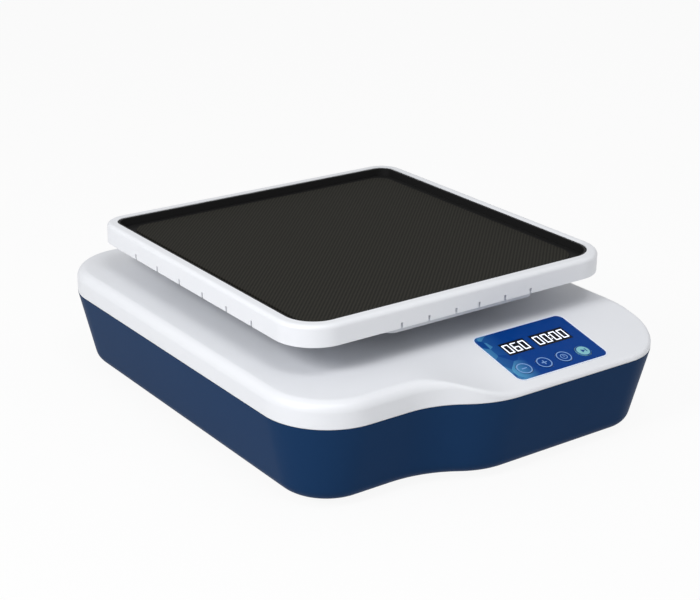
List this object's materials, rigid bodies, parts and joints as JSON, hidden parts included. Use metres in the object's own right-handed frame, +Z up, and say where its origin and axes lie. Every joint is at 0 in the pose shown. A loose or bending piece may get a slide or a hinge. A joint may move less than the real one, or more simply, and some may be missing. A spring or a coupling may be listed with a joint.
{
  "type": "orbital shaker",
  "caption": "Compact benchtop orbital shaker: white cover on a blue base, square tray with a ribbed mat, sloped front panel with two digital displays and round keys.",
  "frame": {"origin": "on the bench, under the middle of the housing's bounding box", "axes": "+Z up; +X to the user's right as they face the control panel; -Y towards the user, so the panel is at -Y and the power inlet at +Y"},
  "size_m": [0.242, 0.296, 0.097],
  "materials": {
    "base_blue": "satin moulded plastic",
    "cover_white": "satin moulded plastic",
    "tray_white": "satin moulded plastic",
    "liner_black": "fine texture",
    "mat_rubber": "finely ribbed",
    "foot_rubber": "matt",
    "belt_rubber": "matt",
    "seal_black": "matt",
    "film_blue": "printed film",
    "window_dark": "tinted",
    "display_grey": "moulded",
    "key_pale": "printed film",
    "key_green": "printed film",
    "switch_black": "moulded",
    "rocker_black": "moulded",
    "board_green": "solder mask",
    "motor_black": "painted can",
    "plate_steel": "sheet",
    "carrier_light": "painted plate",
    "cast_aluminium": "turned and cast",
    "pulley_aluminium": "machined",
    "ground_steel": "ground",
    "bearing_steel": "polished",
    "screw_steel": "plated"
  },
  "bodies": {
    "housing": {"base_shell": "base_blue", "top_cover": "cover_white", "rubber_feet": "foot_rubber", "foot_screws": "screw_steel", "cover_screws": "screw_steel", "chassis_plate": "plate_steel", "chassis_screws": "screw_steel", "drive_housing": "cast_aluminium", "drive_bearing_lower": "bearing_steel", "drive_bearing_upper": "bearing_steel", "housing_screws": "screw_steel", "idler_tower_1": "cast_aluminium", "idler_tower_2": "cast_aluminium", "idler_tower_3": "cast_aluminium", "idler_tower_4": "cast_aluminium", "idler_bearings_1": "bearing_steel", "idler_bearings_2": "bearing_steel", "idler_bearings_3": "bearing_steel", "idler_bearings_4": "bearing_steel", "tower_screws": "screw_steel", "drive_seal": "seal_black", "idler_seals": "seal_black", "motor_body": "motor_black", "motor_screws": "screw_steel", "timing_belt": "belt_rubber", "control_board": "board_green", "board_screws": "screw_steel", "speed_display": "display_grey", "timer_display": "display_grey", "display_windows": "window_dark", "panel_film": "film_blue", "key_switches": "switch_black", "power_board": "board_green", "power_board_screws": "screw_steel", "power_inlet": "switch_black", "switch_housing": "switch_black"},
    "drive": {"drive_shaft": "ground_steel", "drive_crank": "cast_aluminium", "drive_pin": "ground_steel", "driven_pulley": "pulley_aluminium"},
    "rotor": {"motor_shaft": "ground_steel", "motor_pulley": "pulley_aluminium"},
    "platform": {"tray_frame": "tray_white", "tray_liner": "liner_black", "anti_slip_mat": "mat_rubber", "carrier_plate": "carrier_light", "tray_screws": "screw_steel", "bearing_holders": "cast_aluminium", "holder_screws": "screw_steel", "pin_bearings": "bearing_steel"},
    "rocker": {"switch_rocker": "rocker_black"},
    "idler_1": {"idler_crank_1": "ground_steel"},
    "idler_2": {"idler_crank_2": "ground_steel"},
    "idler_3": {"idler_crank_3": "ground_steel"},
    "idler_4": {"idler_crank_4": "ground_steel"},
    "minus_button": {"minus_key": "key_pale"},
    "plus_button": {"plus_key": "key_pale"},
    "timer_button": {"timer_key": "key_pale"},
    "start_button": {"start_key": "key_green"}
  },
  "joints": [
    {"name": "drive_spin", "type": "hinge", "parent": "housing", "child": "drive", "pos_m": [0, 0.009, 0.05], "axis": [0, 0, 1], "continuous": true},
    {"name": "platform_turn", "type": "hinge", "parent": "drive", "child": "platform", "pos_m": [0.005, 0.009, 0.08], "axis": [0, 0, 1], "continuous": true},
    {"name": "motor_spin", "type": "hinge", "parent": "housing", "child": "rotor", "pos_m": [0, 0.062, 0.03], "axis": [0, 0, 1], "continuous": true},
    {"name": "idler_spin_1", "type": "hinge", "parent": "housing", "child": "idler_1", "pos_m": [-0.055, -0.046, 0.05], "axis": [0, 0, 1], "continuous": true},
    {"name": "idler_spin_2", "type": "hinge", "parent": "housing", "child": "idler_2", "pos_m": [-0.055, 0.064, 0.05], "axis": [0, 0, 1], "continuous": true},
    {"name": "idler_spin_3", "type": "hinge", "parent": "housing", "child": "idler_3", "pos_m": [0.055, -0.046, 0.05], "axis": [0, 0, 1], "continuous": true},
    {"name": "idler_spin_4", "type": "hinge", "parent": "housing", "child": "idler_4", "pos_m": [0.055, 0.064, 0.05], "axis": [0, 0, 1], "continuous": true},
    {"name": "switch_rock", "type": "hinge", "parent": "housing", "child": "rocker", "pos_m": [-0.076, 0.14211, 0.02814], "axis": [1, 0, 0], "range_deg": [0, 20]},
    {"name": "minus_press", "type": "slide", "parent": "housing", "child": "minus_button", "axis": [0, 0.2249, -0.9744], "range_m": [0, 0.00035], "stiffness_N_per_m": 1000},
    {"name": "plus_press", "type": "slide", "parent": "housing", "child": "plus_button", "axis": [0, 0.2249, -0.9744], "range_m": [0, 0.00035], "stiffness_N_per_m": 1000},
    {"name": "timer_press", "type": "slide", "parent": "housing", "child": "timer_button", "axis": [0, 0.2249, -0.9744], "range_m": [0, 0.00035], "stiffness_N_per_m": 1000},
    {"name": "start_press", "type": "slide", "parent": "housing", "child": "start_button", "axis": [0, 0.2249, -0.9744], "range_m": [0, 0.00035], "stiffness_N_per_m": 1000}
  ],
  "couplings": [
    {"joint": "platform_turn", "follows": "drive_spin", "ratio": -1},
    {"joint": "motor_spin", "follows": "drive_spin", "ratio": 2.8571},
    {"joint": "idler_spin_1", "follows": "drive_spin", "ratio": 1},
    {"joint": "idler_spin_2", "follows": "drive_spin", "ratio": 1},
    {"joint": "idler_spin_3", "follows": "drive_spin", "ratio": 1},
    {"joint": "idler_spin_4", "follows": "drive_spin", "ratio": 1}
  ]
}
